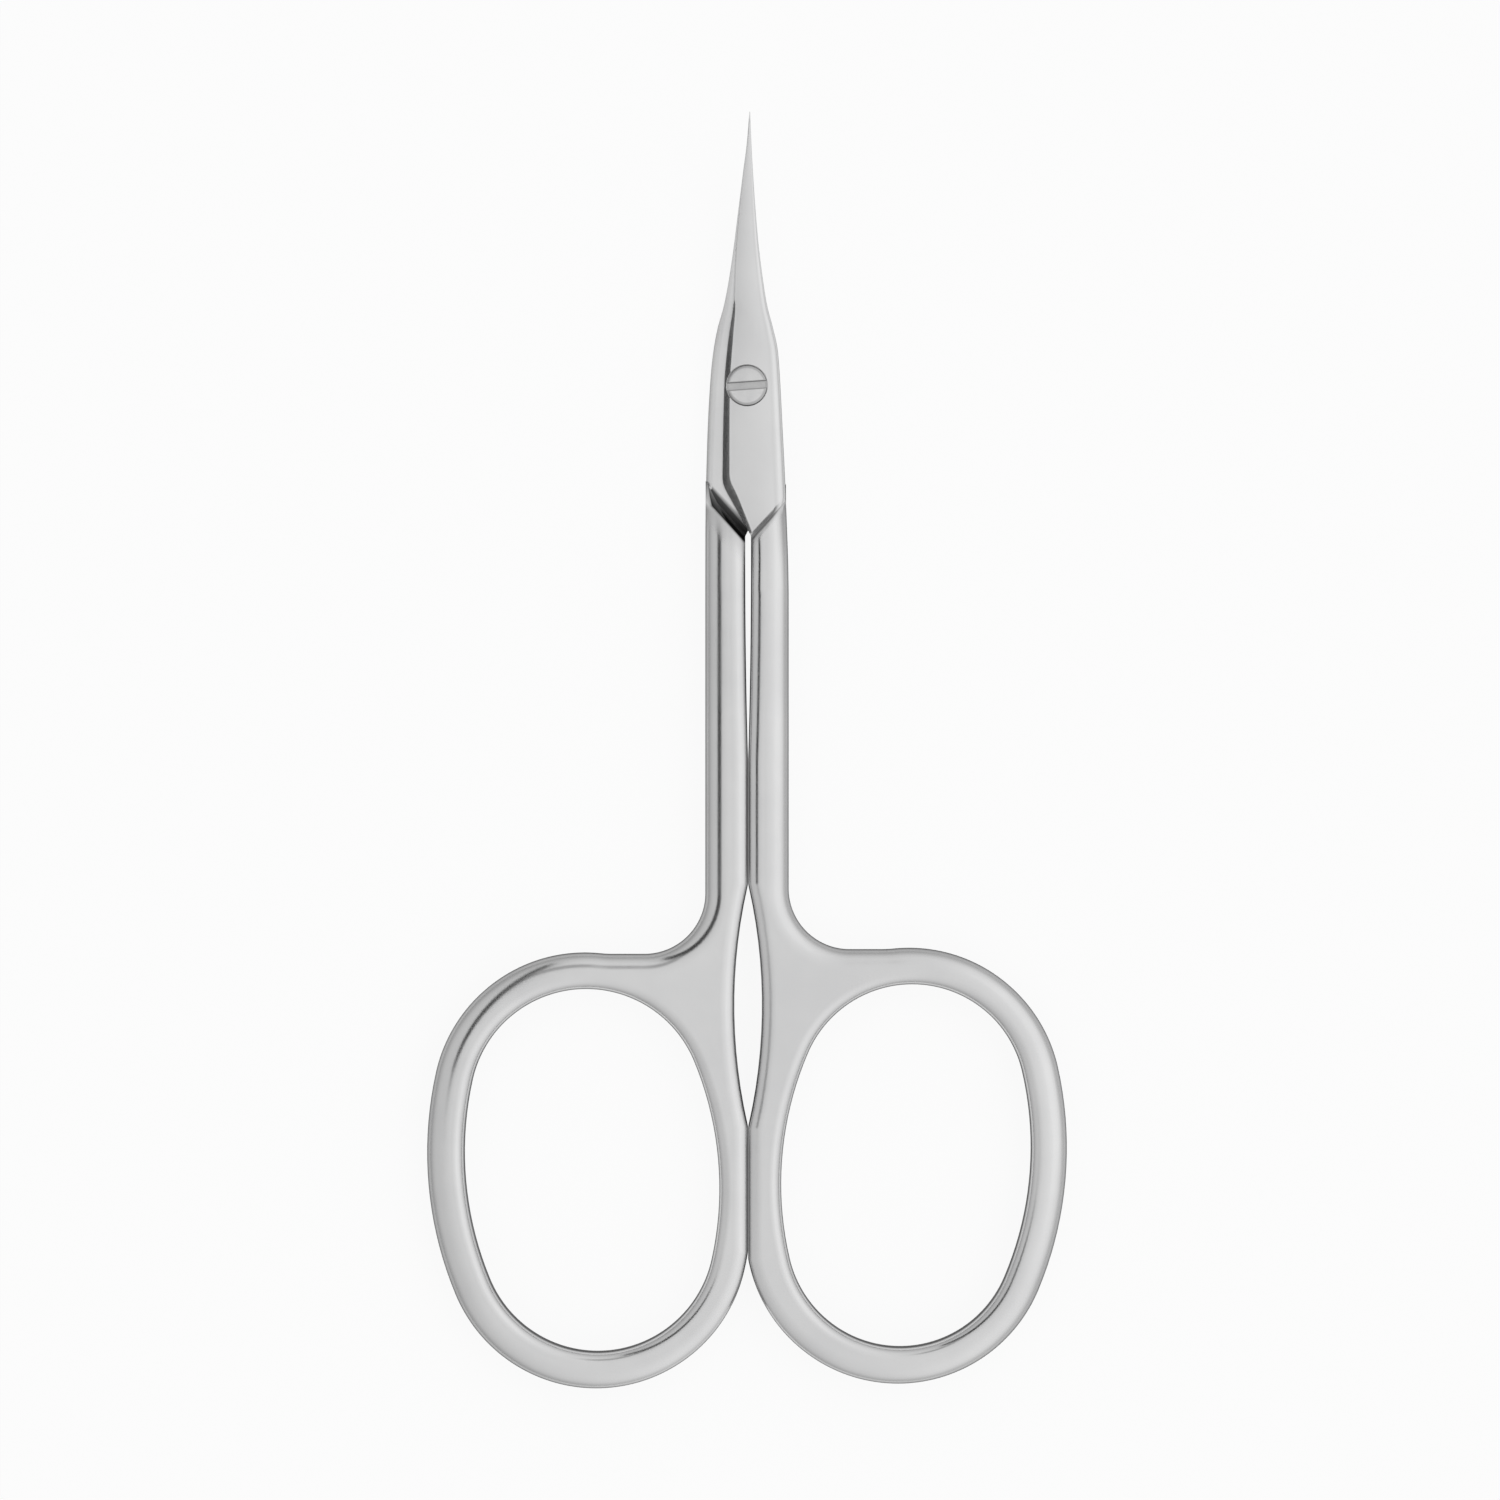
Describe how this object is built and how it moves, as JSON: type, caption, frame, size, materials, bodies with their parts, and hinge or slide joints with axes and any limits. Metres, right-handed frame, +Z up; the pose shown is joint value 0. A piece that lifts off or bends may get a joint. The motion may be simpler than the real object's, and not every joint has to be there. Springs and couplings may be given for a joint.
{
  "type": "cuticle scissors",
  "caption": "Slim steel cuticle scissors with oval finger rings and fine curved blades that taper to a point, lapped at the joint and turning on a slotted pivot screw.",
  "frame": {"origin": "Under the middle of the closed scissors' length and width, on the plane that shanks and rings rest on.", "axes": "+Y along the closed scissors toward the blade tips, +Z up toward the screw's head, +X to the right seen from above."},
  "size_m": [0.046, 0.0918, 0.0042],
  "materials": {
    "satin_steel": "satin polish, softly rounded edges",
    "screw_steel": "turned and satin polished with the joint"
  },
  "bodies": {
    "lower_half": {"lower_half": "satin_steel", "pivot_screw": "screw_steel"},
    "upper_half": {"upper_half": "satin_steel"}
  },
  "joints": [
    {"name": "blade_pivot", "type": "hinge", "parent": "lower_half", "child": "upper_half", "pos_m": [0, 0.02631, 0.0015], "axis": [0, 0, 1], "range_deg": [0, 90]}
  ]
}
